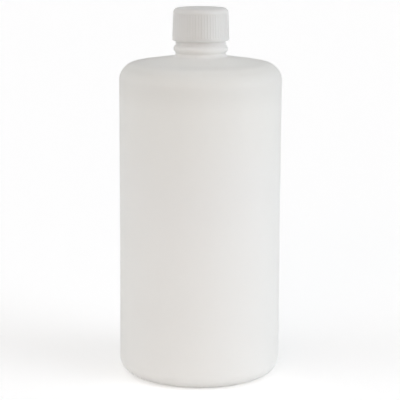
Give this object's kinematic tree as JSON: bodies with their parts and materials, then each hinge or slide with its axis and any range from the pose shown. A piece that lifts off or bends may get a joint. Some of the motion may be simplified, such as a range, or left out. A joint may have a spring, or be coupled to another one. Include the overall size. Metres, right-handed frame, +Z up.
{
  "type": "narrow-neck plastic bottle",
  "caption": "Tall round milky plastic bottle with a rounded shoulder, a narrow threaded neck with a bead, and a finely ribbed screw cap over a loose sealing disc.",
  "frame": {"origin": "on the bottle's axis, in the plane of the ring that it stands on", "axes": "+Z up along the bottle's axis, from the base to the cap; +X and +Y are level, and -Y faces the viewer of the picture"},
  "size_m": [0.09, 0.09, 0.2047],
  "materials": {
    "bottle": "satin, milky translucent",
    "sealing_disc": "fine foam skin",
    "screw_cap": "satin, milky translucent"
  },
  "bodies": {
    "bottle": {"bottle": "bottle"},
    "disc": {"sealing_disc": "sealing_disc"},
    "cap": {"screw_cap": "screw_cap"}
  },
  "joints": [
    {"name": "cap_rise", "type": "slide", "parent": "bottle", "child": "disc", "axis": [0, 0, 1], "range_m": [0, 0.0168]},
    {"name": "cap_turn", "type": "hinge", "parent": "disc", "child": "cap", "pos_m": [0, 0, 0.187], "axis": [0, 0, 1], "range_deg": [0, 1440]}
  ],
  "couplings": [
    {"joint": "cap_rise", "follows": "cap_turn", "m_per_rad": 0.00066845}
  ]
}
